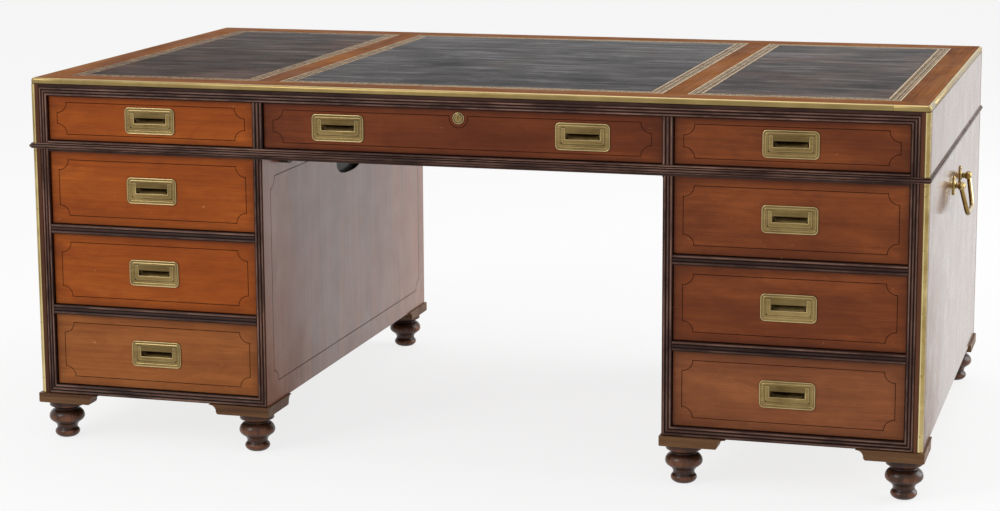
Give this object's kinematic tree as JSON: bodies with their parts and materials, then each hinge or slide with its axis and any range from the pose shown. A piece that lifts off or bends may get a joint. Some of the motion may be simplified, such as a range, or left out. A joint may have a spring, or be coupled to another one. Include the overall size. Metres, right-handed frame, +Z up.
{
  "type": "campaign desk",
  "caption": "Pedestal writing desk in campaign style: brass-bound mahogany, reeded frames, leather top, drawers with flush brass handles, turned feet.",
  "frame": {"origin": "on the floor under the middle of the desk's bounding box", "axes": "+X to the desk's right as seen from the front, the drawer fronts face -Y, +Z up"},
  "size_m": [1.9, 1.059, 0.762],
  "materials": {
    "mahogany": "polished",
    "dark_mahogany": "polished",
    "turned_wood": "polished",
    "carcase_wood": "satin",
    "brass": "satin",
    "steel": "satin",
    "leather": "satin"
  },
  "bodies": {
    "pedestals": {"left_case": "mahogany", "right_case": "mahogany", "pedestal_front_frames": "dark_mahogany", "pedestal_back_frames": "dark_mahogany", "pedestal_corner_brass": "brass", "plinth_brackets": "mahogany", "turned_feet": "turned_wood", "locating_pegs": "carcase_wood", "carrying_handle_posts": "brass"},
    "top": {"top_case": "mahogany", "top_front_frame": "dark_mahogany", "top_back_frame": "dark_mahogany", "top_corner_brass": "brass", "waist_moulding": "dark_mahogany", "top_board": "mahogany", "leather_panels": "leather", "top_edge_brass": "brass", "locating_cleats": "turned_wood"},
    "left_lower_drawer": {"left_lower_drawer_front": "mahogany", "left_lower_drawer_box": "carcase_wood", "left_lower_handle_plate": "brass"},
    "left_lower_drawer_bail": {"left_lower_drawer_bail": "brass"},
    "left_middle_drawer": {"left_middle_drawer_front": "mahogany", "left_middle_drawer_box": "carcase_wood", "left_middle_handle_plate": "brass"},
    "left_middle_drawer_bail": {"left_middle_drawer_bail": "brass"},
    "left_upper_drawer": {"left_upper_drawer_front": "mahogany", "left_upper_drawer_box": "carcase_wood", "left_upper_handle_plate": "brass"},
    "left_upper_drawer_bail": {"left_upper_drawer_bail": "brass"},
    "left_frieze_drawer": {"left_frieze_drawer_front": "mahogany", "left_frieze_drawer_box": "carcase_wood", "left_frieze_handle_plate": "brass"},
    "left_frieze_drawer_bail": {"left_frieze_drawer_bail": "brass"},
    "right_lower_drawer": {"right_lower_drawer_front": "mahogany", "right_lower_drawer_box": "carcase_wood", "right_lower_handle_plate": "brass"},
    "right_lower_drawer_bail": {"right_lower_drawer_bail": "brass"},
    "right_middle_drawer": {"right_middle_drawer_front": "mahogany", "right_middle_drawer_box": "carcase_wood", "right_middle_handle_plate": "brass"},
    "right_middle_drawer_bail": {"right_middle_drawer_bail": "brass"},
    "right_upper_drawer": {"right_upper_drawer_front": "mahogany", "right_upper_drawer_box": "carcase_wood", "right_upper_handle_plate": "brass"},
    "right_upper_drawer_bail": {"right_upper_drawer_bail": "brass"},
    "right_frieze_drawer": {"right_frieze_drawer_front": "mahogany", "right_frieze_drawer_box": "carcase_wood", "right_frieze_handle_plate": "brass"},
    "right_frieze_drawer_bail": {"right_frieze_drawer_bail": "brass"},
    "centre_frieze_drawer": {"centre_frieze_drawer_front": "mahogany", "centre_frieze_drawer_box": "carcase_wood", "centre_frieze_handle_plate": "brass", "lock_case": "brass"},
    "centre_frieze_left_drawer_bail": {"centre_frieze_left_drawer_bail": "brass"},
    "centre_frieze_right_drawer_bail": {"centre_frieze_right_drawer_bail": "brass"},
    "lock_plug": {"lock_plug": "brass"},
    "lock_bolt": {"lock_bolt": "steel"},
    "left_carrying_bail": {"left_carrying_bail": "brass"},
    "right_carrying_bail": {"right_carrying_bail": "brass"}
  },
  "joints": [
    {"name": "top_lift", "type": "slide", "parent": "pedestals", "child": "top", "axis": [0, 0, 1], "range_m": [0, 0.06]},
    {"name": "left_lower_slide", "type": "slide", "parent": "pedestals", "child": "left_lower_drawer", "axis": [0, -1, 0], "range_m": [0, 0.45]},
    {"name": "left_lower_drawer_bail_hinge", "type": "hinge", "parent": "left_lower_drawer", "child": "left_lower_drawer_bail", "pos_m": [-0.654, -0.5173, 0.2095], "axis": [-1, 0, 0], "range_deg": [0, 90]},
    {"name": "left_middle_slide", "type": "slide", "parent": "pedestals", "child": "left_middle_drawer", "axis": [0, -1, 0], "range_m": [0, 0.45]},
    {"name": "left_middle_drawer_bail_hinge", "type": "hinge", "parent": "left_middle_drawer", "child": "left_middle_drawer_bail", "pos_m": [-0.654, -0.5173, 0.3795], "axis": [-1, 0, 0], "range_deg": [0, 90]},
    {"name": "left_upper_slide", "type": "slide", "parent": "pedestals", "child": "left_upper_drawer", "axis": [0, -1, 0], "range_m": [0, 0.45]},
    {"name": "left_upper_drawer_bail_hinge", "type": "hinge", "parent": "left_upper_drawer", "child": "left_upper_drawer_bail", "pos_m": [-0.654, -0.5173, 0.5505], "axis": [-1, 0, 0], "range_deg": [0, 90]},
    {"name": "left_frieze_slide", "type": "slide", "parent": "top", "child": "left_frieze_drawer", "axis": [0, -1, 0], "range_m": [0, 0.45]},
    {"name": "left_frieze_drawer_bail_hinge", "type": "hinge", "parent": "left_frieze_drawer", "child": "left_frieze_drawer_bail", "pos_m": [-0.654, -0.5173, 0.6945], "axis": [-1, 0, 0], "range_deg": [0, 90]},
    {"name": "right_lower_slide", "type": "slide", "parent": "pedestals", "child": "right_lower_drawer", "axis": [0, -1, 0], "range_m": [0, 0.45]},
    {"name": "right_lower_drawer_bail_hinge", "type": "hinge", "parent": "right_lower_drawer", "child": "right_lower_drawer_bail", "pos_m": [0.654, -0.5173, 0.2095], "axis": [-1, 0, 0], "range_deg": [0, 90]},
    {"name": "right_middle_slide", "type": "slide", "parent": "pedestals", "child": "right_middle_drawer", "axis": [0, -1, 0], "range_m": [0, 0.45]},
    {"name": "right_middle_drawer_bail_hinge", "type": "hinge", "parent": "right_middle_drawer", "child": "right_middle_drawer_bail", "pos_m": [0.654, -0.5173, 0.3795], "axis": [-1, 0, 0], "range_deg": [0, 90]},
    {"name": "right_upper_slide", "type": "slide", "parent": "pedestals", "child": "right_upper_drawer", "axis": [0, -1, 0], "range_m": [0, 0.45]},
    {"name": "right_upper_drawer_bail_hinge", "type": "hinge", "parent": "right_upper_drawer", "child": "right_upper_drawer_bail", "pos_m": [0.654, -0.5173, 0.5505], "axis": [-1, 0, 0], "range_deg": [0, 90]},
    {"name": "right_frieze_slide", "type": "slide", "parent": "top", "child": "right_frieze_drawer", "axis": [0, -1, 0], "range_m": [0, 0.45]},
    {"name": "right_frieze_drawer_bail_hinge", "type": "hinge", "parent": "right_frieze_drawer", "child": "right_frieze_drawer_bail", "pos_m": [0.654, -0.5173, 0.6945], "axis": [-1, 0, 0], "range_deg": [0, 90]},
    {"name": "centre_frieze_slide", "type": "slide", "parent": "top", "child": "centre_frieze_drawer", "axis": [0, -1, 0], "range_m": [0, 0.45]},
    {"name": "centre_frieze_left_drawer_bail_hinge", "type": "hinge", "parent": "centre_frieze_drawer", "child": "centre_frieze_left_drawer_bail", "pos_m": [-0.25, -0.5173, 0.6945], "axis": [-1, 0, 0], "range_deg": [0, 90]},
    {"name": "centre_frieze_right_drawer_bail_hinge", "type": "hinge", "parent": "centre_frieze_drawer", "child": "centre_frieze_right_drawer_bail", "pos_m": [0.25, -0.5173, 0.6945], "axis": [-1, 0, 0], "range_deg": [0, 90]},
    {"name": "lock_plug_turn", "type": "hinge", "parent": "centre_frieze_drawer", "child": "lock_plug", "pos_m": [0, -0.515, 0.708], "axis": [0, -1, 0], "range_deg": [0, 90]},
    {"name": "lock_bolt_slide", "type": "slide", "parent": "centre_frieze_drawer", "child": "lock_bolt", "axis": [0, 0, 1], "range_m": [0, 0.008]},
    {"name": "left_carrying_bail_hinge", "type": "hinge", "parent": "pedestals", "child": "left_carrying_bail", "pos_m": [-0.9315, 0, 0.54], "axis": [0, 1, 0], "range_deg": [0, 95]},
    {"name": "right_carrying_bail_hinge", "type": "hinge", "parent": "pedestals", "child": "right_carrying_bail", "pos_m": [0.9315, 0, 0.54], "axis": [0, -1, 0], "range_deg": [0, 95]}
  ],
  "couplings": [
    {"joint": "lock_bolt_slide", "follows": "lock_plug_turn", "m_per_rad": 0.00509}
  ]
}
